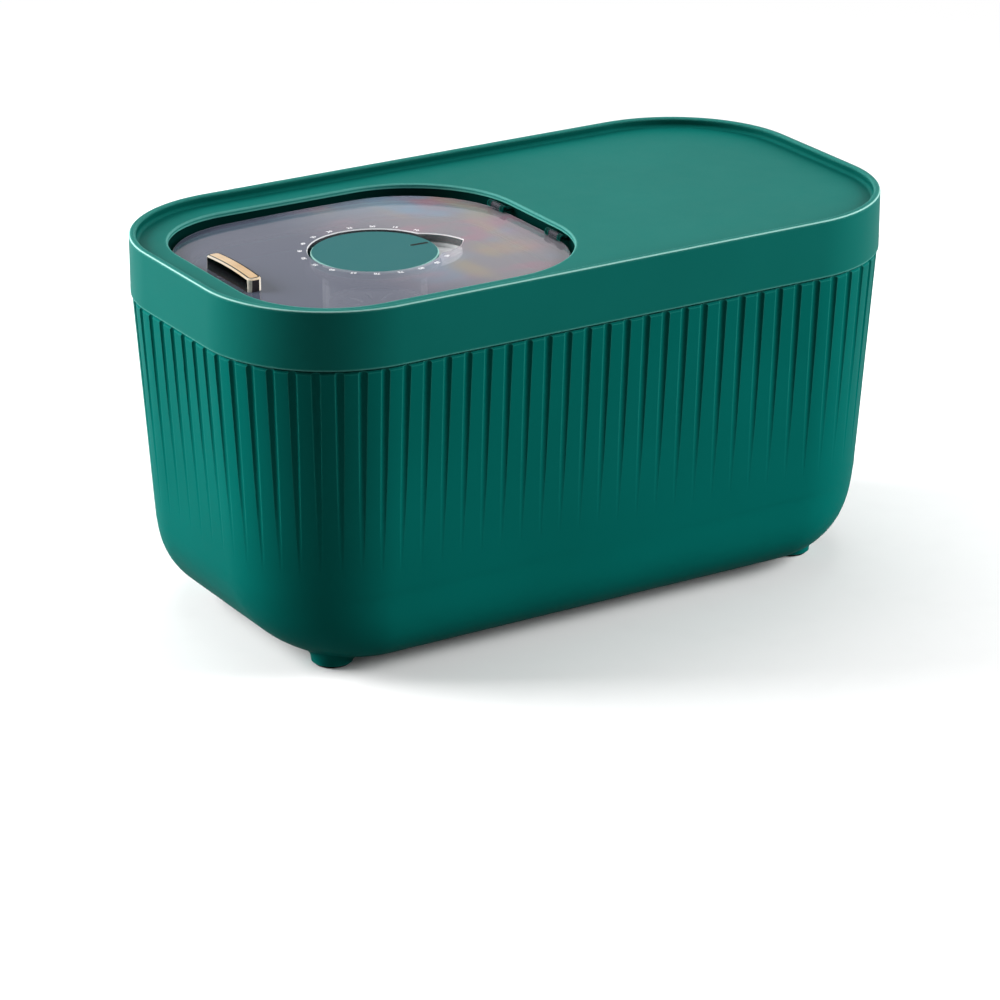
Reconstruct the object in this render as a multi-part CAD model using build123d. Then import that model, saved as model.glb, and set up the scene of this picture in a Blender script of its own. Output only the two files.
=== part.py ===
from build123d import *
import os
from math import cos, pi, radians, sin, sqrt, tan

# Rice storage container: a fluted tub, a lid with a clear hinged flap, a dial and a desiccant cup.
# Millimetres, +Z up. The origin is the middle of the footprint, on the floor.
# X runs along the length with the flap towards -X, and -Y is the front.

# Overall size
length = 387.0
width = 205.0
height = 200.0
corner_radius = 70.0

# Shared fits
overrun = 5.0
slide_clearance = 0.3
running_clearance = 0.06
press_clearance = 0.02
seal_gap = 0.2

# Lid shell
lid_height = 31.0
lid_wall = 2.4
rim_width = 3.6
rim_round = 1.3
tray_depth = 5.0
tray_plate = 2.4
tray_round = 1.8
skirt_edge_chamfer = 0.5
opening_margin = 19.5
opening_inner_end = 13.5
opening_inner_radius = 60.0
opening_edge_chamfer = 0.6

# Tub
seam_gap = 1.0
tub_step = 0.8
tub_draft = 4.0
belly_z = 4.0
end_round = 44.5
side_round = 25.0
corner_end_share = 0.65
bowl_steps = 6
shoulder_chamfer = 1.0
neck_height = 16.0
neck_wall = 1.8
neck_clearance = 0.4

# Flutes in the outside of the tub
flutes_per_quarter = 23
flute_width = 4.6
flute_depth = 1.6
flute_end_height = 55.0

# Feet
foot_from_end = 53.5
foot_from_side = 45.5
foot_radius = 10.6
foot_draft = 8.0
foot_blend = 4.0
pad_radius = 9.6
pad_thickness = 2.6
pad_proud = 1.4
pad_chamfer = 0.5

# Gasket between lid and tub
lid_gasket_height = 2.4

# Mouth frame under the tray
frame_setback = 0.5
frame_wall = 2.0
frame_flange_width = 9.0
frame_flange = 2.4
boss_height = 5.0
ledge_drop = 14.4
ledge_width = 13.5
ledge_thickness = 2.4
lip_wall = 1.8
lip_depth = 8.0
mouth_gasket_width = 4.0
mouth_gasket_height = 2.4
gasket_groove_depth = 1.0
gasket_from_edge = 8.0

# Frame screws
frame_screw_count = 8
frame_screw_radius = 1.4
frame_screw_grip = 4.0
frame_screw_head_radius = 2.8
frame_screw_head = 2.0
boss_radius = 3.5

# Flap panel
flap_gap = 2.0
flap_thickness = 3.0
dome_drop = 3.8
dome_crown = 1.6
dome_half_span = 85.0
flap_skirt_wall = 2.0
flap_edge_chamfer = 0.7
well_edge_chamfer = 0.5

# Hinge
hinge_in_from_edge = 4.2
hinge_below_tray = 3.4
hinge_past_corner = 5.0
knuckle_radius = 1.6
knuckle_length = 8.0
ear_width = 3.0
ear_gap = 0.4
pin_radius = 0.8

# Dial well and finger notch
dial_radius = 32.5
dial_drop = 1.2
dial_top_plate = 2.0
dial_skirt_wall = 1.8
dial_edge_chamfer = 0.6
spigot_wall = 1.6
spigot_depth = 8.0
well_gap = 1.4
well_wall = 1.8
well_depth = 8.2
well_ledge = 2.0
notch_reach = 47.5
notch_half_angle = 30.0
notch_angle = -10.0
notch_arc_radius = 27.0
notch_depth = 7.2
notch_wall = 1.8
notch_floor = 1.8

# Index line on the dial
index_angle = -3.0
index_start = 20.0
index_length = 10.5
index_width = 1.3
index_depth = 0.4

# Desiccant cup
cup_radius = 26.6
cup_wall = 1.6
cup_depth = 26.0
cup_flange = 1.8
cup_seal_thickness = 1.2
cup_edge_chamfer = 1.2
cup_well_clearance = 0.8
vent_count = 10
vent_width = 1.8
vent_length = 12.0
vent_from_centre = 14.0

# Handle on the flap
handle_length = 46.0
handle_width = 8.0
handle_height = 7.8
handle_crown = 1.1
handle_end_radius = 3.0
handle_edge_chamfer = 0.8
handle_from_edge = 13.5
handle_screw_spacing = 28.0
handle_screw_radius = 1.2
handle_screw_grip = 3.6
handle_screw_head_radius = 2.0
handle_screw_head = 1.6
screw_hole_clearance = 0.3

# Levels
seam_z = height - lid_height
shoulder_z = seam_z - seam_gap
neck_top = shoulder_z + neck_height
seat_z = neck_top + lid_gasket_height
tray_z = height - tray_depth
plate_under = tray_z - tray_plate
flange_top = plate_under - boss_height
flange_under = flange_top - frame_flange
ledge_top = tray_z - ledge_drop
gasket_top = ledge_top - gasket_groove_depth + mouth_gasket_height
dome_top = tray_z - dome_drop
hinge_z = tray_z - hinge_below_tray
dial_z = dome_top - dial_drop
well_ledge_z = dome_top - well_depth
cup_top = well_ledge_z + cup_seal_thickness + cup_flange
cup_bottom = cup_top - cup_depth

# Plan places
neck_inset = lid_wall + neck_clearance
cavity_inset = neck_inset + neck_wall
tub_wall = cavity_inset - tub_step
opening_outer_end = opening_margin - length / 2
opening_length = opening_inner_end - opening_outer_end
opening_width = width - 2 * opening_margin
dial_x = (opening_inner_end + opening_outer_end) / 2
hinge_x = opening_inner_end - hinge_in_from_edge
hinge_spread = opening_width / 2 - opening_inner_radius + hinge_past_corner
handle_x = opening_outer_end + handle_from_edge
foot_x = length / 2 - foot_from_end
foot_y = width / 2 - foot_from_side
well_radius = dial_radius + well_gap
flange_radius = dial_radius + slide_clearance
dome_radius = (dome_half_span**2 + dome_crown**2) / (2 * dome_crown)
pin_length = knuckle_length + 2 * (ear_gap + ear_width)


def lid_plan(inset):
    """Outline of the container seen from above, drawn in by inset."""
    return RectangleRounded(length - 2 * inset, width - 2 * inset, corner_radius - inset)


def opening_plan(inset):
    """Outline of the opening in the tray, drawn in by inset, with wider corners on the hinge side."""
    outline = Pos(dial_x, 0) * Rectangle(opening_length - 2 * inset, opening_width - 2 * inset)
    outline = fillet(outline.vertices().group_by(Axis.X)[0], corner_radius - opening_margin - inset)
    return fillet(outline.vertices().group_by(Axis.X)[-1], opening_inner_radius - inset)


def prism(plan, low, high):
    """Upright solid on a plan outline, between two levels."""
    return extrude(Pos(0, 0, low) * plan, high - low)


def drafted(plan, top, bottom, draft):
    """Solid on a plan outline that narrows downwards at a draft angle."""
    return extrude(Plane(origin=(0, 0, top), z_dir=(0, 0, -1)) * plan, top - bottom, taper=draft)


def rod(x, y, low, high, radius):
    """Upright round bar."""
    return Pos(x, y, low) * Cylinder(radius, high - low, align=(Align.CENTER, Align.CENTER, Align.MIN))


def tube(low, high, inner, outer):
    """Upright round ring about the dial's axis."""
    return rod(dial_x, 0, low, high, outer) - rod(dial_x, 0, low - overrun, high + overrun, inner)


def flat_at(solid, level):
    """The flat face of a solid that lies at a level."""
    return min(solid.faces().filter_by(Axis.Z), key=lambda face: abs(face.center().Z - level))


def dome_z(x, y):
    """Height of the crowned face of the flap."""
    reach = (x - dial_x) ** 2 + y**2
    return dome_top - dome_radius + sqrt(dome_radius**2 - reach)


def ball(depth):
    """Ball whose top is the crowned face, sunk by depth, with its poles on the sides."""
    return Pos(dial_x, 0, dome_top - dome_radius) * Rot(0, 90, 0) * Sphere(dome_radius - depth)


def quarter_place(run):
    """Point and outward direction on the tub's outline, at a run from the front middle towards +X."""
    radius = corner_radius - tub_step
    straight = length / 2 - corner_radius
    side = width / 2 - corner_radius
    bend = radius * pi / 2
    if run < straight:
        return (run, -side - radius), (0, -1)
    if run < straight + bend:
        turn = (run - straight) / radius
        way = (sin(turn), -cos(turn))
        return (straight + radius * way[0], -side + radius * way[1]), way
    return (straight + radius, -side + run - straight - bend), (1, 0)


def flute_cutters():
    """Round cutters that lean less than the tub's wall, so the flutes die out above the bottom round."""
    cutter_radius = (flute_width**2 / 4 + flute_depth**2) / (2 * flute_depth)
    fall = shoulder_z - flute_end_height
    lean = fall * tan(radians(tub_draft)) - flute_depth
    quarter = (length + width) / 2 - 2 * corner_radius + (corner_radius - tub_step) * pi / 2
    cutters = []
    for number in range(flutes_per_quarter):
        (x, y), (out_x, out_y) = quarter_place((number + 0.5) * quarter / flutes_per_quarter)
        for flip_x in (1, -1):
            for flip_y in (1, -1):
                out = Vector(out_x * flip_x, out_y * flip_y, 0)
                top = Vector(x * flip_x, y * flip_y, shoulder_z) + out * (cutter_radius - flute_depth)
                axis = Vector(0, 0, fall) + out * lean
                start = top - axis.normalized() * (fall + overrun)
                bar = rod(0, 0, 0, fall + 2 * overrun, cutter_radius)
                cutters.append(Plane(origin=start, z_dir=axis) * bar)
    return cutters


def foot_places():
    """Names and signs of the four feet."""
    return {
        "front_left": (-1, -1),
        "front_right": (1, -1),
        "rear_left": (-1, 1),
        "rear_right": (1, 1),
    }


def with_foot(shell, sign_x, sign_y):
    """Add a short stub that carries a pad, blended into the rounded bottom."""
    base = Pos(sign_x * foot_x, sign_y * foot_y, pad_proud) * Circle(foot_radius)
    shell += extrude(base, belly_z + side_round / 2 - pad_proud, taper=-foot_draft)
    stub_wall = shell.faces().filter_by(GeomType.CONE).sort_by_distance(base.center())[0]
    above_base = stub_wall.edges().sort_by(Axis.Z)[1:]
    return fillet([edge for edge in above_base if edge.geom_type != GeomType.LINE], foot_blend)


def bowl_inset(level, radius, wall):
    """How far a bottom round draws a wall in at a level."""
    below = max(0, belly_z + radius - level)
    return radius - wall - sqrt(max(0, (radius - wall) ** 2 - below**2))


def tub_section(level, wall):
    """Outline at a level of the tub, drawn in by its draft, its bottom rounds and a wall."""
    base = tub_step + wall + (shoulder_z - level) * tan(radians(tub_draft))
    end = bowl_inset(level, end_round, wall)
    side = bowl_inset(level, side_round, wall)
    corner = corner_radius - base - corner_end_share * end - (1 - corner_end_share) * side
    return Pos(0, 0, level) * RectangleRounded(length - 2 * (base + end), width - 2 * (base + side), corner)


def tub_form(wall):
    """Drafted body on a bowl with rounder ends than sides. Drawn in by a wall, its bowl is ruled."""
    bowl_top = belly_z + end_round
    bowl_height = end_round - wall
    levels = [bowl_top - bowl_height * sin(step * pi / 2 / bowl_steps) for step in range(bowl_steps + 1)]
    bowl = loft([tub_section(level, wall) for level in levels], ruled=wall > 0)
    return bowl + drafted(lid_plan(tub_step + wall), shoulder_z, bowl_top, tub_draft)


def make_tub():
    """Fluted bin with a plain neck inside the lid, a rounded bottom and four foot stubs."""
    shell = tub_form(0)
    shell = chamfer(shell.faces().sort_by(Axis.Z)[-1].edges(), shoulder_chamfer)
    for sign_x, sign_y in foot_places().values():
        shell = with_foot(shell, sign_x, sign_y)
    shell -= flute_cutters()
    shell += prism(lid_plan(neck_inset), shoulder_z, neck_top)
    shell -= tub_form(tub_wall)
    shell -= prism(lid_plan(cavity_inset), shoulder_z, neck_top + overrun)
    for sign_x, sign_y in foot_places().values():
        shell -= rod(sign_x * foot_x, sign_y * foot_y, 0, pad_thickness, pad_radius + press_clearance)
    return shell


def make_foot_pad(sign_x, sign_y):
    """Rubber disc pressed into a foot stub."""
    pad = rod(sign_x * foot_x, sign_y * foot_y, 0, pad_thickness, pad_radius)
    return chamfer(pad.faces().sort_by(Axis.Z)[0].edges(), pad_chamfer)


def frame_screw_places():
    """Points along the middle of the mouth frame's flange, evenly spaced."""
    middle = opening_plan(-frame_setback - frame_wall - frame_flange_width / 2).wire()
    return [middle @ ((number + 0.5) / frame_screw_count) for number in range(frame_screw_count)]


def make_lid_shell():
    """Band with a raised rim round a sunk tray, open over the flap, with screw bosses below."""
    shell = prism(lid_plan(0), seam_z, height)
    shell -= prism(lid_plan(rim_width), tray_z, height + overrun)
    shell = fillet(flat_at(shell, tray_z).edges(), tray_round)
    shell = fillet(shell.faces().sort_by(Axis.Z)[-1].edges(), rim_round)
    shell = chamfer(shell.faces().sort_by(Axis.Z)[0].edges(), skirt_edge_chamfer)
    shell -= prism(lid_plan(lid_wall), seam_z - overrun, seat_z)
    shell -= prism(lid_plan(cavity_inset), seat_z, plate_under)
    shell -= prism(opening_plan(0), plate_under - overrun, height)
    shell = chamfer(flat_at(shell, tray_z).inner_wires()[0].edges(), opening_edge_chamfer)
    for place in frame_screw_places():
        shell += rod(place.X, place.Y, flange_top, plate_under, boss_radius)
        grip_top = flange_top + frame_screw_grip + press_clearance
        shell -= rod(place.X, place.Y, flange_top - overrun, grip_top, frame_screw_radius + press_clearance)
    return shell


def make_lid_gasket():
    """Soft ring between the lid's seat and the top of the neck."""
    ring = prism(lid_plan(neck_inset), neck_top, seat_z)
    return ring - prism(lid_plan(cavity_inset), neck_top - overrun, seat_z + overrun)


def opening_ring(outer_inset, inner_inset, low, high):
    """Ring that follows the opening's outline."""
    ring = prism(opening_plan(outer_inset), low, high)
    return ring - prism(opening_plan(inner_inset), low - overrun, high + overrun)


def hinge_stations():
    """Middles of the two hinges along the hinge axis."""
    return {"front": -hinge_spread, "rear": hinge_spread}


def cross_bar(y, span, radius):
    """Round bar along the hinge axis, centred on y."""
    return Pos(hinge_x, y, hinge_z) * Rot(90, 0, 0) * Cylinder(radius, span)


def ear_places():
    """Middles of the four ears of the mouth frame along the hinge axis."""
    step = (knuckle_length + ear_width) / 2 + ear_gap
    return [y + side * step for y in hinge_stations().values() for side in (-1, 1)]


def hinge_ear(y):
    """Ear of the mouth frame that holds one end of a hinge pin."""
    root = opening_inner_end + frame_setback + frame_wall / 2 - (hinge_x - knuckle_radius)
    plate = Pos(hinge_x - knuckle_radius, y, hinge_z) * Box(
        root, ear_width, knuckle_radius, align=(Align.MIN, Align.CENTER, Align.MAX)
    )
    return plate + cross_bar(y, ear_width, knuckle_radius)


def make_mouth_frame():
    """Ring under the tray: wall of the opening, screw flange, sealing ledge, lip and hinge ears."""
    wall_out = -frame_setback - frame_wall
    frame = opening_ring(wall_out, -frame_setback, ledge_top, plate_under)
    frame += opening_ring(wall_out - frame_flange_width, -frame_setback, flange_under, flange_top)
    frame += opening_ring(wall_out, ledge_width, ledge_top - ledge_thickness, ledge_top)
    frame += opening_ring(ledge_width - lip_wall, ledge_width, ledge_top - lip_depth, ledge_top)
    groove_out = gasket_from_edge - press_clearance
    groove_in = gasket_from_edge + mouth_gasket_width + press_clearance
    frame -= opening_ring(groove_out, groove_in, ledge_top - gasket_groove_depth, ledge_top + overrun)
    for y in ear_places():
        frame += hinge_ear(y)
    for y in hinge_stations().values():
        frame -= cross_bar(y, pin_length + overrun, pin_radius + press_clearance)
    for place in frame_screw_places():
        hole = frame_screw_radius + screw_hole_clearance
        frame -= rod(place.X, place.Y, flange_under - overrun, flange_top + overrun, hole)
    return frame


def make_mouth_gasket():
    """Soft ring in the ledge's groove, which the flap's skirt closes on."""
    low = ledge_top - gasket_groove_depth
    return opening_ring(gasket_from_edge, gasket_from_edge + mouth_gasket_width, low, gasket_top)


def make_frame_screws():
    """Pan-head screws from below, through the flange into the lid's bosses."""
    screws = []
    for place in frame_screw_places():
        head = rod(place.X, place.Y, flange_under - frame_screw_head, flange_under, frame_screw_head_radius)
        shank = rod(place.X, place.Y, flange_under, flange_top + frame_screw_grip, frame_screw_radius)
        screws.append(head + shank)
    return screws


def make_hinge_pin(y):
    """Steel pin through two ears and the knuckle between them."""
    return cross_bar(y, pin_length, pin_radius)


def notch_plan(grow):
    """Pointed leaf beside the dial, grown outwards, whose wide end lies inside the well."""
    base_x = well_radius * cos(radians(notch_half_angle))
    base_y = well_radius * sin(radians(notch_half_angle))
    upper = RadiusArc((base_x, base_y), (notch_reach, 0), notch_arc_radius)
    lower = RadiusArc((notch_reach, 0), (base_x, -base_y), notch_arc_radius)
    leaf = make_face([upper, lower, Line((base_x, -base_y), (base_x, base_y))])
    if grow:
        leaf = offset(leaf, grow)
    return Pos(dial_x, 0) * Rot(0, 0, notch_angle) * leaf


def crown_of(cover):
    """The crowned face of the flap, its largest ball face."""
    return max(cover.faces().filter_by(GeomType.SPHERE), key=lambda face: face.area)


def make_flap_panel():
    """Crowned clear cover with a sealing skirt, dial well, finger notch and hinge knuckles."""
    low = gasket_top + seal_gap
    skirt_out = gasket_from_edge + (mouth_gasket_width - flap_skirt_wall) / 2
    notch_z = dome_top - notch_depth
    cover = prism(opening_plan(flap_gap), low, dome_top + overrun) - ball(flap_thickness)
    cover += opening_ring(skirt_out, skirt_out + flap_skirt_wall, low, dome_top)
    cover += rod(dial_x, 0, well_ledge_z - well_ledge, dome_top, well_radius + well_wall)
    cover += prism(notch_plan(notch_wall), notch_z - notch_floor, dome_top)
    cover &= ball(0)
    cover = chamfer(crown_of(cover).outer_wire().edges(), flap_edge_chamfer)
    cover -= rod(dial_x, 0, well_ledge_z, dome_top + overrun, well_radius)
    cover -= rod(dial_x, 0, low - 2 * overrun, dome_top, cup_radius + cup_well_clearance)
    cover -= prism(notch_plan(0), notch_z, dome_top + overrun)
    cover = chamfer(crown_of(cover).inner_wires()[0].edges(), well_edge_chamfer)
    for y in hinge_stations().values():
        arm_height = hinge_z - dome_z(hinge_x, y) + flap_thickness / 2
        arm = Pos(hinge_x, y, hinge_z) * Box(
            2 * knuckle_radius, knuckle_length, arm_height, align=(Align.CENTER, Align.CENTER, Align.MAX)
        )
        cover += arm + cross_bar(y, knuckle_length, knuckle_radius)
        cover -= cross_bar(y, knuckle_length + overrun, pin_radius + running_clearance)
    for y in (-handle_screw_spacing / 2, handle_screw_spacing / 2):
        cover -= rod(handle_x, y, low - overrun, dome_top, handle_screw_radius + screw_hole_clearance)
    return cover


def make_flap_handle():
    """Polished bar with round ends and a crowned top, seated on the crowned flap."""
    seat = dome_z(handle_x, 0)
    low = seat - dome_crown
    plan = RectangleRounded(handle_width, handle_length, handle_end_radius)
    bar = prism(Pos(handle_x, 0) * plan, low, height)
    crown_radius = (handle_length**2 / 4 + handle_crown**2) / (2 * handle_crown)
    crown = Pos(handle_x, 0, seat + handle_height - crown_radius) * Rot(0, 90, 0)
    bar &= crown * Cylinder(crown_radius, handle_width + overrun)
    top = bar.faces().sort_by(Axis.Z)[-1]
    bar = chamfer(top.edges(), handle_edge_chamfer)
    bar -= ball(-press_clearance)
    for y in (-handle_screw_spacing / 2, handle_screw_spacing / 2):
        bar -= rod(handle_x, y, low, seat + handle_screw_grip, handle_screw_radius + press_clearance)
    return bar


def make_handle_screws():
    """Screws from below the flap into the handle."""
    screws = []
    for y in (-handle_screw_spacing / 2, handle_screw_spacing / 2):
        under = dome_z(handle_x, y) - flap_thickness - seal_gap
        head = rod(handle_x, y, under - handle_screw_head, under, handle_screw_head_radius)
        shank_top = dome_z(handle_x, 0) + handle_screw_grip - press_clearance
        screws.append(head + rod(handle_x, y, under, shank_top, handle_screw_radius))
    return screws


def make_cup_seal():
    """Soft ring on the ledge of the dial well, below the flange of the cup."""
    inner = cup_radius + cup_well_clearance
    return tube(well_ledge_z, well_ledge_z + cup_seal_thickness, inner, flange_radius)


def make_desiccant_cup():
    """Clear cup that hangs by its flange in the dial well, with vent slots in its bottom."""
    cup = rod(dial_x, 0, cup_bottom, cup_top, cup_radius)
    cup = chamfer(cup.faces().sort_by(Axis.Z)[0].edges(), cup_edge_chamfer)
    cup += rod(dial_x, 0, cup_top - cup_flange, cup_top, flange_radius)
    cup -= rod(dial_x, 0, cup_bottom + cup_wall, cup_top + overrun, cup_radius - cup_wall)
    for number in range(vent_count):
        vent = Pos(vent_from_centre, 0) * SlotOverall(vent_length, vent_width)
        vent = Pos(dial_x, 0) * Rot(0, 0, number * 360 / vent_count) * vent
        cup -= prism(vent, cup_bottom - overrun, cup_bottom + overrun)
    return cup


def make_dial_cap():
    """Green cap of the cup: it turns on the flange, and its index line points at the numbers."""
    cap = rod(dial_x, 0, cup_top, dial_z, dial_radius)
    cap = chamfer(cap.faces().sort_by(Axis.Z)[-1].edges(), dial_edge_chamfer)
    plate_z = dial_z - dial_top_plate
    cap -= rod(dial_x, 0, cup_top - overrun, plate_z, dial_radius - dial_skirt_wall)
    spigot_outer = cup_radius - cup_wall - slide_clearance
    cap += tube(plate_z - spigot_depth, plate_z, spigot_outer - spigot_wall, spigot_outer)
    mark = Pos(index_start + index_length / 2, 0) * SlotOverall(index_length, index_width)
    mark = Pos(dial_x, 0) * Rot(0, 0, index_angle) * mark
    return cap - prism(mark, dial_z - index_depth, dial_z + overrun)


def write(name, shape):
    """Write one node, a single solid or a group of like solids, to its own file."""
    if isinstance(shape, list):
        shape = Compound(children=shape)
    export_step(shape, f"parts/{name}.step")


os.makedirs("parts", exist_ok=True)
write("tub", make_tub())
for corner, signs in foot_places().items():
    write(f"foot_pad_{corner}", make_foot_pad(*signs))
write("lid_shell", make_lid_shell())
write("lid_gasket", make_lid_gasket())
write("mouth_frame", make_mouth_frame())
write("mouth_gasket", make_mouth_gasket())
write("frame_screws", make_frame_screws())
for end, middle in hinge_stations().items():
    write(f"hinge_pin_{end}", make_hinge_pin(middle))
write("flap_panel", make_flap_panel())
write("flap_handle", make_flap_handle())
write("handle_screws", make_handle_screws())
write("cup_seal", make_cup_seal())
write("desiccant_cup", make_desiccant_cup())
write("dial_cap", make_dial_cap())
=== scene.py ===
import math

import bpy
from mathutils import Matrix, Vector


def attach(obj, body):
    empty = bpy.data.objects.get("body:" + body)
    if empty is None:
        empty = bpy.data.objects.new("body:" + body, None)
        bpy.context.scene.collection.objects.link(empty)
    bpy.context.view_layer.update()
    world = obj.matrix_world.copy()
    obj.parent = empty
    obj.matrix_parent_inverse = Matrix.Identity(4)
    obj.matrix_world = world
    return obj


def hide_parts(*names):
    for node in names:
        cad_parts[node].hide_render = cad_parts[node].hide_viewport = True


# Rice storage container: the looks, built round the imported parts. Metres, the frame of the parts.
# X runs along the length with the flap towards -X, -Y is the front, +Z is up.

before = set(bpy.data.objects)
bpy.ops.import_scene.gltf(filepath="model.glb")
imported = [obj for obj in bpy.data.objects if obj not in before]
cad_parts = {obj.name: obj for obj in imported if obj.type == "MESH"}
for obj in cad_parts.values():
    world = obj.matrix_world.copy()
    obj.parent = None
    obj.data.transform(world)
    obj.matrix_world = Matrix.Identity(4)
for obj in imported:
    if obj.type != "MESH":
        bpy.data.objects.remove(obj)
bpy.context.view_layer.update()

mm = 0.001

# Camera
camera_azimuth = -31.609
camera_elevation = 20.283
camera_distance = 2209.4 * mm
camera_target = Vector((0, 0, 100 * mm))
camera_aim_right = -5.294 * mm
camera_aim_up = -57.158 * mm
camera_focal_pixels = 4242.6
image_pixels = 1000
sensor_width = 36.0

# Light
sky_strength = 0.12
backdrop_strength = 0.9
backdrop_way = (0.28, 0.72, 0.55)
backdrop_edges = (-0.15, 0.45)
floor_radius = 9.0
floor_sides = 96
floor_colour = (0.93, 0.93, 0.93, 1)
floor_bounce_colour = (0.23, 0.23, 0.23, 1)
floor_gloss = 0.3
floor_fade = (0.55, 1.3)
floor_mottle_scale = 40.0
floor_mottle = 0.06
softboxes = {
    "left_softbox": {"turn": -128, "rise": 22, "reach": 1.7, "size": (1.0, 1.0), "power": 58},
    "right_softbox": {"turn": 55, "rise": 24, "reach": 1.9, "size": (1.1, 1.1), "power": 48},
    "top_softbox": {"turn": 150, "rise": 72, "reach": 1.8, "size": (1.4, 1.2), "power": 12},
}
softbox_target = Vector((0, 0, 110 * mm))

# Colours
white = (1, 1, 1, 1)
shell_green = (0.004, 0.135, 0.114, 1)
shell_green_deep = (0.003, 0.122, 0.102, 1)
tub_green = (0.001, 0.135, 0.115, 1)
tub_green_deep = (0.001, 0.122, 0.103, 1)
# Painted highlight: lighter greens laid along the edges of the tub, the lid and the dial.
edge_green = (0.05, 0.34, 0.29, 1)
rim_green = (0.16, 0.50, 0.44, 1)
# Painted highlight: a pale green line on the outer round of the rim and on the edge of the dial.
line_green = (0.30, 0.565, 0.51, 1)
# Painted highlight: a lighter green line on the chamfer round the opening in the tray.
opening_green = (0.07, 0.27, 0.24, 1)
dial_green = (0.016, 0.110, 0.113, 1)
# Painted shade: a near-black green laid into flutes, grooves and the tray near walls, where shade falls.
painted_shade_green = (0.0, 0.030, 0.024, 1)
# Painted shade: near-black green for the mouth frame, which lies in shadow under the lid.
inner_green = (0.0, 0.014, 0.012, 1)
# The flap's smoke colours, which its crown blends into a painted reflection: darker grey-blue towards -X and
# lighter mauve towards the hinge, with rose, sea-blue and straw patches of painted reflection.
panel_grey = (0.116, 0.128, 0.187, 1)
panel_mauve = (0.288, 0.270, 0.305, 1)
panel_rose = (0.385, 0.240, 0.300, 1)
panel_sea = (0.230, 0.335, 0.455, 1)
panel_straw = (0.420, 0.360, 0.230, 1)
# Pale acrylic colour: a painted highlight on the flap's chamfers, and the pale of its lit walls.
panel_edge = (0.80, 0.80, 0.82, 1)
# Painted highlight on the floor of the finger notch.
notch_pale = (0.85, 0.85, 0.87, 1)
cup_clear = (0.90, 0.92, 0.93, 1)
seal_grey = (0.03, 0.032, 0.033, 1)
foot_black = (0.004, 0.004, 0.004, 1)
gold_light = (0.95, 0.68, 0.40, 1)
gold_deep = (0.78, 0.48, 0.22, 1)
# Handle colours: a painted highlight on the bevels, a painted highlight on the corners, and a painted dark
# reflection on the sides.
bevel_highlight_colour = (0.98, 0.90, 0.76, 1)
pale_gold = (0.90, 0.82, 0.70, 1)
side_dark_reflection = (0.20, 0.165, 0.14, 1)
# Painted shade: near-black steel for the hinge pins, which lie in the shadowed gap.
painted_shade_steel = (0.030, 0.032, 0.034, 1)
steel_light = (0.62, 0.63, 0.64, 1)
steel_deep = (0.45, 0.46, 0.47, 1)
print_white = (0.92, 0.92, 0.93, 1)
ink_black = (0.004, 0.005, 0.005, 1)

# Noise runs from 0 to 1 about this middle
noise_middle = 0.5

# Moulded plastic: gloss, roughness, the scale and strength of its cloudiness, flow marks and grain, and the
# strength of its painted edge highlight
shell_gloss = 0.035
tub_gloss = 0.012
shell_roughness = 0.42
dial_roughness = 0.36
inner_roughness = 0.45
cloud_scale = 9.0
cloud_span = (0.3, 0.7)
flow_scale = (90, 90, 12)
flow_roughness = 0.06
grain_scale = 1900.0
grain_roughness = 0.08
grain_bump = (0.08, 0.05 * mm)
edge_highlight_share = 0.7

# Acrylic: refraction, roughness, and the scale and span of its haze and of its painted reflection colours
acrylic_index = 1.49
acrylic_roughness = 0.1
haze_scale = 70.0
haze_roughness = 0.04
panel_roughness = 0.08
drift_roughness = 0.03
drift_scale = 21.0
drift_span = (0.5, 0.72)
streak_scale = (26, 60, 30)
streak_span = (0.45, 0.68)
band_scale = (34, 18, 30)
band_span = (0.55, 0.75)
painted_reflection_share = 0.7

# Clear cup: refraction, roughness, frost, and how much its wall covers face on and edge on
cup_index = 1.5
cup_roughness = 0.12
frost_scale = 220.0
frost_roughness = 0.1
frost_bump = (0.05, 0.1 * mm)
facing_blend = 0.5
edge_on_span = (0.45, 1.0)
edge_on_cover = 0.8
face_on_cover = 0.1

# Rubber: gloss, roughness, dusty bloom and pores
rubber_gloss = 0.12
seal_roughness = 0.6
foot_roughness = 0.7
bloom_scale = 60.0
bloom_span = (0.4, 0.75)
bloom_lightness = 1.6
bloom_roughness = 0.1
pore_scale = 1500.0
pore_bump = (0.15, 0.05 * mm)

# Metal: roughness, uneven tone, and marks along Y or round an upright axis
gold_roughness = 0.16
bevel_roughness = 0.12
dark_reflection_roughness = 0.14
steel_roughness = 0.28
pin_roughness = 0.35
tone_scale = 45.0
tone_span = (0.3, 0.75)
marks_along = (900, 40, 900)
marks_round = (300, 300, 2500)
mark_roughness = 0.12
mark_bump = (0.03, 0.02 * mm)

# Print, and the painted highlight and dark reflection lines: gloss, roughness and unevenness
print_gloss = 0.08
line_roughness = 0.4
corner_roughness = 0.3
number_roughness = 0.45
index_roughness = 0.5
dark_line_roughness = 0.3
uneven_scale = 900.0
uneven_span = (0.4, 0.8)
uneven_roughness = 0.1
print_fade = 0.86

# Smoke of the flap: how much its crown and its other faces cover, and where its painted reflection colours
# come in
panel_cover = 0.62
inner_cover = 0.12
edge_cover = 0.75
notch_cover = 0.75
crown_slope = 0.97
chamfer_slope = 0.4
chamfer_depth = 0.9 * mm
notch_floor_span = (183.5 * mm, 184.5 * mm)
painted_reflection_span = (-0.11, -0.03)
back_span = (0.03, 0.08)

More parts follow.
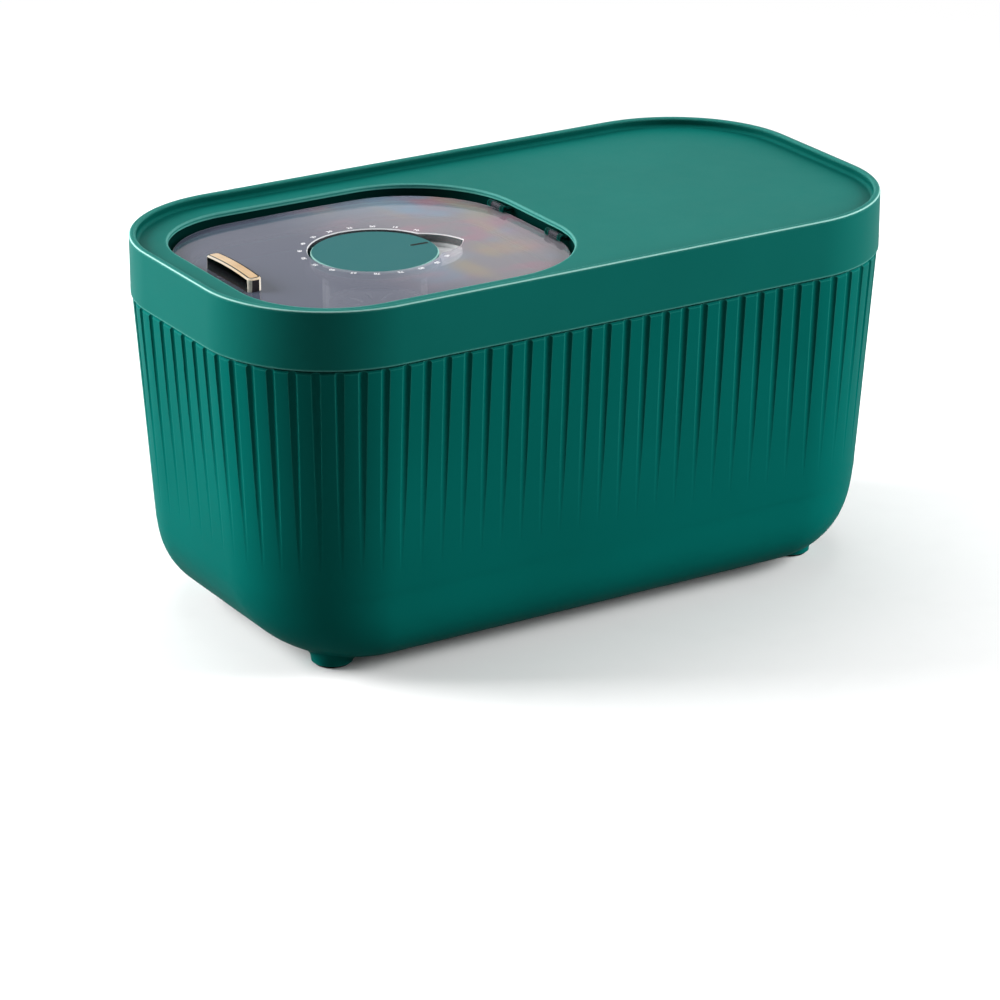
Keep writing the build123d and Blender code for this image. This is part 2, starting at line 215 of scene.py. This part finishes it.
# Well and notch walls: their slope and reach, and the heights between which light gathers in them,
# under the edge of the walls that look back, and at the foot of the notch wall that looks to the front
wall_slope = 0.3
wall_look = 0.2
wall_top = 190.0 * mm
well_reach = 34.5 * mm
wall_reach = 48.5 * mm
edge_glow = (188.8 * mm, 190.2 * mm)
foot_glow = (186.9 * mm, 185.7 * mm)
wall_cover = 0.7

# Painted shade in flutes and on the tray: its reach, and how closed in a place is where the shade starts and
# is full
flute_shade = (3.5 * mm, 0.3, 0.95)
tray_shade = (20.0 * mm, 0.04, 0.60)

# Painted highlight on sharp and on round edges, in the same terms, and how round a sharp edge looks
sharp_edge_highlight = (0.7 * mm, 0.1, 0.45)
round_edge_highlight = (1.3 * mm, 0.14, 0.32)
edge_round = 0.5 * mm
shade_samples = 4

# Rim of the lid: its outline, its outer round, and the slopes that carry a painted highlight line
rim_corner = 70.0 * mm
rim_round = 1.3 * mm
rim_low = 198.7 * mm
rim_top = 200.0 * mm
rim_rings = 8
rim_slack = 0.005 * mm
rim_line_slopes = (0.42, 0.86)

# Narrow chamfers that carry a painted highlight line too: the opening in the tray and the edge of the dial
chamfer_slopes = (0.55, 0.85)
opening_edge_span = (194.4 * mm, 195.0 * mm)
dial_edge_low = 189.3 * mm

# Foot of the cup: its band and its holes take a painted highlight, paler and denser than its wall
cup_foot_top = 162.5 * mm
cup_foot_cover = 0.9
cup_foot_slopes = (-0.9, 0.2)

# Gold inlay on the handle, with a painted dark reflection line round it and painted highlights on its bevels
# and corners
inlay_line = 0.8 * mm
inlay_slope = 0.9
handle_bevel_slope = 0.3
handle_corner_slope = 0.35

# Dial, numbers and index line
dial_centre = Vector((-80.25, 0, 0)) * mm
dome_top = 191.2 * mm
dome_radius = 2258.6 * mm
number_ring = 37.6 * mm
number_size = 3.2 * mm
number_relief = 0.05 * mm
number_curve_steps = 3
number_first = 10
number_step = 5
number_count = 17
number_pitch = 18.0
number_start_angle = 26.0
index_angle = -3.0
index_start = 20.0 * mm
index_length = 10.5 * mm
index_width = 2.2 * mm
index_floor = 189.6 * mm
index_fill = 0.43 * mm
index_sides = 24

# Places of the finishes on a piece, in the order in which it is painted with them
plain_finish, line_finish, opening_finish = range(3)
wall_finish, foot_finish = range(2)
smoke_finish, clear_finish, chamfer_highlight_finish, notch_finish, lit_edge_finish, lit_foot_finish = range(6)
inlay_finish, bevel_finish, side_finish, dark_line_finish, corner_finish = range(5)

# Merged copies of the parts
merge_distance = 0.002 * mm
merge_slack = 0.1 * mm
smooth_angle = math.radians(28)

# Drafted wall of the tub
slat_bottom = 48.6 * mm
slat_top = 167.0 * mm
wall_draft = math.radians(4)
wall_straight_x = 123.5 * mm
wall_straight_y = 32.5 * mm
slat_closeness = math.cos(math.radians(7))


class Wire:
    """A shader socket that takes part in sums, each of which adds a Math node."""

    def __init__(self, finish, socket):
        self.finish = finish
        self.socket = socket

    def math(self, operation, first, second):
        return self.finish.add("ShaderNodeMath", {"operation": operation}, {0: first, 1: second})

    def __add__(self, other):
        return self.math("ADD", self, other)

    def __sub__(self, other):
        return self.math("SUBTRACT", self, other)

    def __rsub__(self, other):
        return self.math("SUBTRACT", other, self)

    def __mul__(self, other):
        return self.math("MULTIPLY", self, other)

    __radd__ = __add__
    __rmul__ = __mul__


class Finish:
    """A node tree that is filled one node at a time."""

    def __init__(self, tree):
        tree.nodes.clear()
        self.tree = tree

    def add(self, kind, settings=None, sockets=None, output=0):
        """A new node: its settings are set first, then the values or links of its sockets."""
        node = self.tree.nodes.new(kind)
        for name, value in (settings or {}).items():
            setattr(node, name, value)
        for name, value in (sockets or {}).items():
            if isinstance(value, Wire):
                self.tree.links.new(value.socket, node.inputs[name])
            else:
                node.inputs[name].default_value = value
        return Wire(self, node.outputs[output]) if node.outputs else node

    def place(self):
        return self.add("ShaderNodeTexCoord", output="Object")

    def stretched(self, scale):
        """Object coordinates with a scale of their own on each axis."""
        return self.add("ShaderNodeMapping", {}, {"Vector": self.place(), "Scale": scale})

    def noise(self, scale, detail=2.0, rough=0.5, place=None):
        return self.add(
            "ShaderNodeTexNoise",
            {},
            {"Vector": place or self.place(), "Scale": scale, "Detail": detail, "Roughness": rough},
        )

    def uneven(self, noise, amount):
        """Noise about zero, with the given strength."""
        return (noise - noise_middle) * amount

    def between(self, value, low, high):
        """0 below low, 1 above high, and smooth between them."""
        settings = {"interpolation_type": "SMOOTHSTEP"}
        return self.add("ShaderNodeMapRange", settings, {"Value": value, "From Min": low, "From Max": high})

    def blend(self, factor, first, second):
        """A colour between two colours."""
        settings = {"data_type": "RGBA"}
        return self.add("ShaderNodeMix", settings, {0: factor, 6: first, 7: second}, output=2)

    def scaled(self, colour, scale):
        """A colour made lighter or darker."""
        sockets = {0: colour[:3], "Scale": scale}
        return self.add("ShaderNodeVectorMath", {"operation": "SCALE"}, sockets)

    def bump(self, height, strength, distance, normal=None):
        sockets = {"Height": height, "Strength": strength, "Distance": distance}
        if normal:
            sockets["Normal"] = normal
        return self.add("ShaderNodeBump", {}, sockets)

    def closed_in(self, reach, inside):
        """0 on open faces, more in grooves, or inside the plastic next to its outer edges."""
        settings = {"samples": shade_samples, "only_local": True, "inside": inside}
        return 1 - self.add("ShaderNodeAmbientOcclusion", settings, {"Distance": reach}, output="AO")

    def rounded(self, radius):
        """Normal with the edges softened."""
        return self.add("ShaderNodeBevel", {"samples": shade_samples}, {"Radius": radius})

    def surface(self, sockets):
        shader = self.add("ShaderNodeBsdfPrincipled", {}, sockets)
        self.add("ShaderNodeOutputMaterial", {}, {"Surface": shader})


def new_finish(name):
    """A named material with an empty node tree."""
    material = bpy.data.materials.new(name)
    material.use_nodes = True
    return material, Finish(material.node_tree)


def moulded_plastic(name, colour, deep_colour, edge_highlight_colour, roughness, groove, edge, gloss=shell_gloss):
    """Satin moulded plastic: faint cloudiness and fine grain, with a painted highlight along its edges and
    painted shade in its grooves and hollows.
    """
    material, finish = new_finish(name)
    cloud = finish.noise(cloud_scale, 3.0)
    grain = finish.noise(grain_scale)
    flow = finish.noise(1.0, place=finish.stretched(flow_scale))
    edge_reach, highlight_start, highlight_full = edge
    # Painted highlight: the colour lightens along outer edges.
    edge_highlight = finish.between(finish.closed_in(edge_reach, True), highlight_start, highlight_full)
    groove_reach, open_shade, full_shade = groove
    # Painted shade: the colour darkens where the surface is closed in, in flutes and grooves and near walls.
    painted_shade = finish.between(finish.closed_in(groove_reach, False), open_shade, full_shade)
    tone = finish.blend(finish.between(cloud, *cloud_span), deep_colour, colour)
    highlighted_tone = finish.blend(edge_highlight * edge_highlight_share, tone, edge_highlight_colour)
    texture = finish.uneven(flow, flow_roughness) + finish.uneven(grain, grain_roughness)
    finish.surface(
        {
            "Base Color": finish.blend(painted_shade, highlighted_tone, painted_shade_green),
            "Roughness": roughness + texture,
            "Specular IOR Level": gloss,
            "Normal": finish.bump(grain, *grain_bump, finish.rounded(edge_round)),
        }
    )
    return material


def clear_panel_plastic():
    """Smoky clear acrylic with a painted reflection: lighter and mauve towards the hinge, with faint rose,
    sea-blue and straw patches there and sea-blue towards the back.
    """
    material, finish = new_finish("smoky_clear_acrylic")
    streak = finish.noise(1.0, 3.0, place=finish.stretched(streak_scale))
    drift = finish.noise(drift_scale)
    band = finish.noise(1.0, 1.0, place=finish.stretched(band_scale))
    along = finish.add("ShaderNodeSeparateXYZ", {}, {0: finish.place()}, output="X")
    across = finish.add("ShaderNodeSeparateXYZ", {}, {0: finish.place()}, output="Y")
    # Painted reflection: the crown's colour shifts from grey-blue to mauve along X and takes patches of rose,
    # sea-blue and straw.
    hinge_side = finish.between(along, *painted_reflection_span)
    smoke_and_reflection = finish.blend(hinge_side, panel_grey, panel_mauve)
    back_side = finish.between(across, *back_span) * hinge_side
    cool = finish.blend(back_side * painted_reflection_share, smoke_and_reflection, panel_sea)
    warm = finish.blend(finish.between(streak, *streak_span) * hinge_side, cool, panel_rose)
    gilt = finish.blend(finish.between(band, *band_span) * hinge_side * painted_reflection_share, warm, panel_straw)
    finish.surface(
        {
            "Base Color": finish.blend(finish.between(drift, *drift_span) * hinge_side, gilt, panel_sea),
            "Roughness": panel_roughness + finish.uneven(drift, drift_roughness),
            "IOR": acrylic_index,
            "Alpha": panel_cover,
        }
    )
    return material


def plain_acrylic(name, colour, other_colour, cover):
    """The same acrylic below the crown and on its edges, without the painted reflection colours."""
    material, finish = new_finish(name)
    haze = finish.noise(haze_scale)
    finish.surface(
        {
            "Base Color": finish.blend(haze, colour, other_colour),
            "Roughness": acrylic_roughness + finish.uneven(haze, haze_roughness),
            "IOR": acrylic_index,
            "Alpha": cover,
        }
    )
    return material


def lit_wall_acrylic(name, clear_height, lit_height):
    """Acrylic of an upright wall: clear at one height, and pale where light gathers at another."""
    material, finish = new_finish(name)
    haze = finish.noise(haze_scale)
    height = finish.add("ShaderNodeSeparateXYZ", {}, {0: finish.place()}, output="Z")
    glow = finish.between(height, clear_height, lit_height)
    finish.surface(
        {
            "Base Color": finish.blend(haze, panel_edge, white),
            "Roughness": acrylic_roughness + finish.uneven(haze, haze_roughness),
            "IOR": acrylic_index,
            "Alpha": glow * (wall_cover - inner_cover) + inner_cover,
        }
    )
    return material


def clear_cup_plastic():
    """Clear cup plastic with a slight frost, denser where its wall is seen edge on."""
    material, finish = new_finish("clear_cup_plastic")
    frost = finish.noise(frost_scale, 3.0)
    edge_on = finish.add("ShaderNodeLayerWeight", {}, {"Blend": facing_blend}, output="Facing")
    finish.surface(
        {
            "Base Color": cup_clear,
            "Roughness": cup_roughness + finish.uneven(frost, frost_roughness),
            "IOR": cup_index,
            "Alpha": finish.between(edge_on, *edge_on_span) * edge_on_cover + face_on_cover,
            "Normal": finish.bump(frost, *frost_bump),
        }
    )
    return material


def rubber(name, colour, roughness):
    """Dull rubber with a dusty bloom."""
    material, finish = new_finish(name)
    bloom = finish.noise(bloom_scale, 4.0)
    pore = finish.noise(pore_scale)
    dusty = finish.scaled(colour, bloom_lightness)
    finish.surface(
        {
            "Base Color": finish.blend(finish.between(bloom, *bloom_span), colour, dusty),
            "Roughness": roughness + finish.uneven(bloom, bloom_roughness),
            "Specular IOR Level": rubber_gloss,
            "Normal": finish.bump(pore, *pore_bump),
        }
    )
    return material


def polished_metal(name, light, deep, roughness, brush):
    """Bright metal with fine marks along one direction."""
    material, finish = new_finish(name)
    marks = finish.noise(1.0, 3.0, place=finish.stretched(brush))
    tone = finish.noise(tone_scale)
    finish.surface(
        {
            "Base Color": finish.blend(finish.between(tone, *tone_span), light, deep),
            "Metallic": 1.0,
            "Roughness": roughness + finish.uneven(marks, mark_roughness),
            "Normal": finish.bump(marks, *mark_bump),
        }
    )
    return material


def print_and_painted_light(name, colour, roughness):
    """Opaque printing ink, a little uneven; the same flat colour also paints highlight and dark reflection
    lines.
    """
    material, finish = new_finish(name)
    patches = finish.noise(uneven_scale)
    faded = finish.scaled(colour, print_fade)
    finish.surface(
        {
            "Base Color": finish.blend(finish.between(patches, *uneven_span), colour, faded),
            "Roughness": roughness + finish.uneven(patches, uneven_roughness),
            "Specular IOR Level": print_gloss,
        }
    )
    return material


def deselect():
    bpy.ops.object.select_all(action="DESELECT")


def work_on(piece):
    """Make a piece the only one that is selected and active."""
    deselect()
    piece.select_set(True)
    bpy.context.view_layer.objects.active = piece


def settle(piece):
    """Put the place of a piece into its mesh."""
    work_on(piece)
    bpy.ops.object.transform_apply(location=True, rotation=True, scale=True)


def paint(piece, *materials):
    piece.data.materials.clear()
    for material in materials:
        piece.data.materials.append(material)


def skin_of(node, name, body, slot, *materials, dress=None):
    """A merged, smoothly shaded copy of a part, which stands for it, with its faces dressed first."""
    piece = bpy.data.objects.new(name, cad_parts[node].data.copy())
    bpy.context.scene.collection.objects.link(piece)
    work_on(piece)
    bpy.ops.mesh.customdata_custom_splitnormals_clear()
    bpy.ops.object.mode_set(mode="EDIT")
    bpy.ops.mesh.select_all(action="SELECT")
    bpy.ops.mesh.remove_doubles(threshold=merge_distance)
    bpy.ops.object.mode_set(mode="OBJECT")
    paint(piece, *materials)
    if dress:
        dress(piece)
    bpy.ops.object.shade_smooth_by_angle(angle=smooth_angle)
    weighting = piece.modifiers.new("even_shading", "WEIGHTED_NORMAL")
    weighting.keep_sharp = True
    bpy.ops.object.modifier_apply(modifier=weighting.name)
    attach(piece, body)
    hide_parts(node)
    return piece


def pick(piece, wanted):
    """Open a piece for editing with only the wanted faces selected."""
    bpy.ops.object.mode_set(mode="EDIT")
    bpy.ops.mesh.select_mode(type="FACE")
    bpy.ops.mesh.select_all(action="DESELECT")
    bpy.ops.object.mode_set(mode="OBJECT")
    for face in piece.data.polygons:
        face.select = wanted(face)
    bpy.ops.object.mode_set(mode="EDIT")


def within(value, span):
    low, high = span
    return low < value < high


def overhang(value, half):
    """How far a value lies outside a span about zero, with its sign."""
    return math.copysign(max(abs(value) - half, 0), value)


def from_core(point):
    """Plan vector to a point from the straight-sided core of the container's outline."""
    return Vector((overhang(point.x, wall_straight_x), overhang(point.y, wall_straight_y), 0))


def wall_normal(point):
    """Outward direction of the tub's drafted wall next to a point."""
    return from_core(point).normalized() * math.cos(wall_draft) - Vector((0, 0, math.sin(wall_draft)))


def level_slats(tub):
    """Shade the slats between the flutes by the true wall, and not by its long triangles."""
    mesh = tub.data
    shading = [corner.vector.copy() for corner in mesh.corner_normals]
    for face in mesh.polygons:
        if not within(face.center.z, (slat_bottom, slat_top)):
            continue
        if face.normal.dot(wall_normal(face.center)) < slat_closeness:
            continue
        for corner in face.loop_indices:
            shading[corner] = wall_normal(mesh.vertices[mesh.loops[corner].vertex_index].co)
    mesh.normals_split_custom_set(shading)


def on_outer_round(face):
    outer = from_core(face.center).length > rim_corner - rim_round - merge_slack
    return outer and within(face.center.z, (rim_low, rim_top - rim_slack))


def renew_rim(lid):
    """Remake the outer round of the rim as even rings, and paint highlight lines on it and on the edge of the
    opening.
    """
    pick(lid, on_outer_round)
    bpy.ops.mesh.delete(type="FACE")
    bpy.ops.mesh.select_mode(type="EDGE")
    bpy.ops.mesh.select_non_manifold(
        extend=False, use_wire=False, use_multi_face=False, use_non_contiguous=False, use_verts=False
    )
    bpy.ops.mesh.bridge_edge_loops(number_cuts=rim_rings - 1, interpolation="LINEAR")
    bpy.ops.object.mode_set(mode="OBJECT")
    for corner in lid.data.vertices:
        out = from_core(corner.co)
        if corner.co.z < rim_low - rim_slack or out.length < rim_corner - rim_round - merge_slack:
            continue
        swing = math.pi / 2 * (corner.co.z - rim_low) / rim_round
        reach = rim_corner - rim_round * (1 - math.cos(swing))
        corner.co += out.normalized() * (reach - out.length)
        corner.co.z = rim_low + rim_round * math.sin(swing)
    lid.data.update()
    for face in lid.data.polygons:
        if on_outer_round(face) and within(face.normal.z, rim_line_slopes):
            face.material_index = line_finish
        elif within(face.center.z, opening_edge_span) and within(face.normal.z, chamfer_slopes):
            face.material_index = opening_finish


def dress_dial(dial):
    """Painted highlight line round the edge of the dial."""
    for face in dial.data.polygons:
        edge = face.center.z > dial_edge_low and within(face.normal.z, chamfer_slopes)
        face.material_index = line_finish if edge else plain_finish


def dress_cup(cup_piece):
    """Painted highlight on the foot band and holes at the bottom of the cup."""
    pick(cup_piece, lambda face: True)
    bpy.ops.mesh.bisect(plane_co=(0, 0, cup_foot_top), plane_no=(0, 0, 1))
    bpy.ops.object.mode_set(mode="OBJECT")
    for face in cup_piece.data.polygons:
        foot_edge = face.center.z < cup_foot_top and within(face.normal.z, cup_foot_slopes)
        face.material_index = foot_finish if foot_edge else wall_finish


def crown_height(point):
    """Height of the flap's crowned face above a point."""
    reach = (point - dial_centre).xy.length
    return dome_top - dome_radius + math.sqrt(dome_radius**2 - reach**2)


def window_finish(face, top):
    """Which finish a face of the flap takes, by its place in the list of the window's finishes."""
    if 0 <= crown_height(face.center) - face.center.z + merge_slack < chamfer_depth:
        if face.normal.z > crown_slope:
            return smoke_finish
        if face.normal.z > chamfer_slope:
            return chamfer_highlight_finish
    if within(face.center.z, notch_floor_span) and face.normal.z > crown_slope:
        return notch_finish
    reach = (face.center - dial_centre).xy.length
    if abs(face.normal.z) < wall_slope and reach < wall_reach and top > wall_top:
        if face.normal.y > wall_look:
            return lit_edge_finish
        if face.normal.y < -wall_look and reach > well_reach:
            return lit_foot_finish
    return clear_finish


def dress_window(window):
    for face in window.data.polygons:
        top = max(window.data.vertices[corner].co.z for corner in face.vertices)
        face.material_index = window_finish(face, top)


def dress_handle(handle):
    """Gold inlay on top, with a painted dark reflection in a line round it and on the sides, and painted
    highlights on the bevels and corners.
    """
    for face in handle.data.polygons:
        corner = min(abs(face.normal.x), abs(face.normal.y)) > handle_corner_slope
        side = corner_finish if corner else side_finish
        face.material_index = bevel_finish if face.normal.z > handle_bevel_slope else side
    pick(handle, lambda face: face.normal.z > inlay_slope)
    bpy.ops.mesh.inset(thickness=inlay_line, depth=0)
    bpy.ops.object.mode_set(mode="OBJECT")
    for face in handle.data.polygons:
        if face.normal.z > inlay_slope:
            face.material_index = inlay_finish if face.select else dark_line_finish


def make_number(text, angle, material):
    """One printed number, which lies on the crowned panel and reads from outside the ring."""
    deselect()
    bpy.ops.object.text_add()
    number = bpy.context.object
    number.data.body = text
    number.data.size = number_size
    number.data.align_x = "CENTER"
    number.data.align_y = "CENTER"
    number.data.extrude = number_relief
    number.data.resolution_u = number_curve_steps
    bpy.ops.object.convert(target="MESH")
    slope = math.asin(number_ring / dome_radius)
    tilt = Matrix.Rotation(-slope, 4, "X")
    out = Matrix.Translation((0, number_ring, crown_height(dial_centre + Vector((0, number_ring, 0)))))
    turn = Matrix.Rotation(math.radians(angle - 90), 4, "Z")
    number.matrix_world = Matrix.Translation(dial_centre) @ turn @ out @ tilt
    settle(number)
    paint(number, material)
    return number


def make_number_ring(material):
    """The ring of printed numbers, joined into one piece."""
    numbers = []
    for place in range(number_count):
        text = str(number_first + place * number_step)
        numbers.append(make_number(text, number_start_angle + place * number_pitch, material))
    deselect()
    for number in numbers:
        number.select_set(True)
    bpy.context.view_layer.objects.active = numbers[0]
    bpy.ops.object.join()
    ring = numbers[0]
    ring.name = "dial_numbers"
    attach(ring, "flap")


def make_index_ink(material):
    """Black ink that fills the groove of the index line and spreads a little past its edges."""
    deselect()
    radius = index_width / 2
    bpy.ops.mesh.primitive_cylinder_add(vertices=index_sides, radius=radius, depth=index_fill)
    ink = bpy.context.object
    ink.name = "index_ink"
    run = index_length - index_width
    bpy.ops.object.mode_set(mode="EDIT")
    bpy.ops.mesh.select_mode(type="VERT")
    bpy.ops.mesh.select_all(action="DESELECT")
    bpy.ops.object.mode_set(mode="OBJECT")
    for corner in ink.data.vertices:
        corner.select = corner.co.x > radius / index_sides
    bpy.ops.object.mode_set(mode="EDIT")
    bpy.ops.transform.translate(value=(run, 0, 0))
    bpy.ops.object.mode_set(mode="OBJECT")
    turn = Matrix.Rotation(math.radians(index_angle), 4, "Z")
    along = Matrix.Translation((index_start + radius, 0, index_floor + index_fill / 2))
    ink.matrix_world = Matrix.Translation(dial_centre) @ turn @ along
    settle(ink)
    paint(ink, material)
    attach(ink, "dial")


def make_floor():
    """Pale floor that keeps the shadow near the container and fades to white round it."""
    deselect()
    bpy.ops.mesh.primitive_circle_add(vertices=floor_sides, radius=floor_radius, fill_type="NGON")
    floor = bpy.context.object
    floor.name = "studio_floor"
    material, finish = new_finish("pale_studio_floor")
    ray = finish.add("ShaderNodeLightPath", output="Is Camera Ray")
    seen = ray + finish.add("ShaderNodeLightPath", output="Is Glossy Ray") * floor_gloss
    flat = finish.add("ShaderNodeVectorMath", {"operation": "LENGTH"}, {0: finish.place()}, output="Value")
    far = finish.between(flat, *floor_fade)
    mottle = finish.noise(floor_mottle_scale)
    tone = finish.blend(finish.uneven(mottle, floor_mottle), floor_colour, floor_bounce_colour)
    shown = finish.add("ShaderNodeBsdfDiffuse", {}, {"Color": finish.blend(seen, floor_bounce_colour, tone)})
    bright = finish.add("ShaderNodeEmission", {}, {"Color": white, "Strength": 1.0})
    mixed = finish.add("ShaderNodeMixShader", {}, {0: far * ray, 1: shown, 2: bright})
    finish.add("ShaderNodeOutputMaterial", {}, {"Surface": mixed})
    paint(floor, material)


def make_sky():
    """White to the camera and through glass, a soft grey dome for light, and a bright back wall for gloss."""
    world = bpy.data.worlds.new("studio_sky")
    world.use_nodes = True
    bpy.context.scene.world = world
    finish = Finish(world.node_tree)
    way = finish.add("ShaderNodeTexCoord", output="Generated")
    settings = {"operation": "DOT_PRODUCT"}
    split = finish.add("ShaderNodeVectorMath", settings, {0: way, 1: backdrop_way}, output="Value")
    behind = finish.between(split, *backdrop_edges)
    camera_ray = finish.add("ShaderNodeLightPath", output="Is Camera Ray")
    glossy_ray = finish.add("ShaderNodeLightPath", output="Is Glossy Ray")
    gloss = glossy_ray * behind * (backdrop_strength - sky_strength)
    plain = camera_ray * (1 - sky_strength)
    sky = finish.add("ShaderNodeBackground", {}, {"Color": white, "Strength": gloss + plain + sky_strength})
    finish.add("ShaderNodeOutputWorld", {}, {"Surface": sky})


def make_softboxes():
    """Large soft lights round the container, each aimed at it. Gloss shows the sky alone, with no glare."""
    for name, box in softboxes.items():
        turn = math.radians(box["turn"])
        rise = math.radians(box["rise"])
        out = Vector((math.sin(turn) * math.cos(rise), -math.cos(turn) * math.cos(rise), math.sin(rise)))
        light = bpy.data.lights.new(name, "AREA")
        light.shape = "RECTANGLE"
        light.size, light.size_y = box["size"]
        light.energy = box["power"]
        lamp = bpy.data.objects.new(name, light)
        lamp.visible_glossy = False
        lamp.location = softbox_target + out * box["reach"]
        lamp.rotation_euler = (-out).to_track_quat("-Z", "Y").to_euler()
        bpy.context.scene.collection.objects.link(lamp)


def make_camera():
    """Camera at the photograph's angle."""
    azimuth = math.radians(camera_azimuth)
    elevation = math.radians(camera_elevation)
    level = math.cos(elevation)
    back = Vector((math.sin(azimuth) * level, -math.cos(azimuth) * level, math.sin(elevation)))
    right = Vector((math.cos(azimuth), math.sin(azimuth), 0))
    up = back.cross(right)
    eye = camera_target + back * camera_distance
    aim = camera_target + right * camera_aim_right + up * camera_aim_up
    lens = bpy.data.cameras.new("photo_camera")
    lens.sensor_width = sensor_width
    lens.lens = camera_focal_pixels * sensor_width / image_pixels
    camera = bpy.data.objects.new("photo_camera", lens)
    camera.location = eye
    camera.rotation_euler = (aim - eye).to_track_quat("-Z", "Y").to_euler()
    bpy.context.scene.collection.objects.link(camera)
    bpy.context.scene.camera = camera


make_camera()
make_sky()
make_softboxes()
make_floor()

tub_plastic = moulded_plastic(
    "tub_green_plastic", tub_green, tub_green_deep, edge_green,
    shell_roughness, flute_shade, sharp_edge_highlight, tub_gloss,
)
lid_plastic = moulded_plastic(
    "lid_green_plastic", shell_green, shell_green_deep, rim_green,
    shell_roughness, tray_shade, round_edge_highlight,
)
dial_plastic = moulded_plastic(
    "dial_green_plastic", dial_green, dial_green, rim_green,
    dial_roughness, flute_shade, sharp_edge_highlight,
)
# The mouth frame's plastic is painted near-black as shade.
dark_green = moulded_plastic(
    "inner_painted_shade_plastic", inner_green, inner_green, shell_green,
    inner_roughness, flute_shade, sharp_edge_highlight,
)
# Painted highlight line for the rim of the lid and the edge of the dial.
painted_highlight_line = print_and_painted_light("green_painted_highlight_line", line_green, line_roughness)
# Painted highlight line on the chamfer round the opening.
opening_highlight_line = print_and_painted_light("opening_green_highlight_line", opening_green, line_roughness)
panel = clear_panel_plastic()
inner_panel = plain_acrylic("clear_acrylic", panel_grey, panel_mauve, inner_cover)
# Painted highlight on the chamfered edges of the flap's crown.
chamfer_highlight = plain_acrylic("acrylic_chamfer_highlight", panel_edge, panel_edge, edge_cover)
# Painted highlight: the floor of the finger notch is pale and nearly opaque.
notch_highlight = plain_acrylic("pale_acrylic_highlight", notch_pale, notch_pale, notch_cover)
lit_edge = lit_wall_acrylic("lit_acrylic_edge", *edge_glow)
lit_foot = lit_wall_acrylic("lit_acrylic_foot", *foot_glow)
cup = clear_cup_plastic()
# Painted highlight: the cup's foot band and holes are pale and nearly opaque.
cup_foot = plain_acrylic("cup_foot_highlight", cup_clear, white, cup_foot_cover)
seal = rubber("seal_grey_rubber", seal_grey, seal_roughness)
foot = rubber("foot_black_rubber", foot_black, foot_roughness)
gold = polished_metal("polished_gold", gold_light, gold_deep, gold_roughness, marks_along)
# Painted highlights and reflections of the gold handle: bright bevels, dark sides and pale corners.
bevel_highlight_gold = polished_metal("gold_bevel_highlight", bevel_highlight_colour, gold_light, bevel_roughness, marks_along)
dark_reflection_metal = polished_metal("gold_painted_dark_reflection", side_dark_reflection, side_dark_reflection, dark_reflection_roughness, marks_along)
corner_highlight = print_and_painted_light("pale_gold_corner_highlight", pale_gold, corner_roughness)
steel = polished_metal("bright_steel", steel_light, steel_deep, steel_roughness, marks_round)
# The hinge pins are painted near-black as shade.
pin_steel = polished_metal("painted_shade_steel", painted_shade_steel, painted_shade_steel, pin_roughness, marks_along)
number_ink = print_and_painted_light("white_print", print_white, number_roughness)
index_paint = print_and_painted_light("black_print", ink_black, index_roughness)
# Painted dark reflection line round the handle's gold inlay.
dark_reflection_line = print_and_painted_light("black_painted_reflection_line", ink_black, dark_line_roughness)

level_slats(skin_of("tub", "tub_body", "bin", "green_shell", tub_plastic))
lid_finishes = (lid_plastic, painted_highlight_line, opening_highlight_line)
skin_of("lid_shell", "lid_body", "lid", "green_shell", *lid_finishes, dress=renew_rim)
skin_of("mouth_frame", "mouth_wall", "lid", "inner_green", dark_green)
window_finishes = (panel, inner_panel, chamfer_highlight, notch_highlight, lit_edge, lit_foot)
skin_of("flap_panel", "flap_window", "flap", "clear_panel", *window_finishes, dress=dress_window)
skin_of("dial_cap", "dial_disc", "dial", "green_shell", dial_plastic, painted_highlight_line, dress=dress_dial)
skin_of("desiccant_cup", "cup_body", "cup", "clear_cup", cup, cup_foot, dress=dress_cup)
handle_finishes = (gold, bevel_highlight_gold, dark_reflection_metal, dark_reflection_line, corner_highlight)
skin_of("flap_handle", "handle_bar", "flap", "gold_metal", *handle_finishes, dress=dress_handle)
make_number_ring(number_ink)
make_index_ink(index_paint)

node_finishes = {
    "lid_gasket": seal,
    "mouth_gasket": seal,
    "cup_seal": seal,
    "foot_pad_front_left": foot,
    "foot_pad_front_right": foot,
    "foot_pad_rear_left": foot,
    "foot_pad_rear_right": foot,
    "frame_screws": steel,
    "handle_screws": steel,
    "hinge_pin_front": pin_steel,
    "hinge_pin_rear": pin_steel,
}
for node, material in node_finishes.items():
    paint(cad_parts[node], material)

bpy.context.scene.view_settings.view_transform = "Standard"
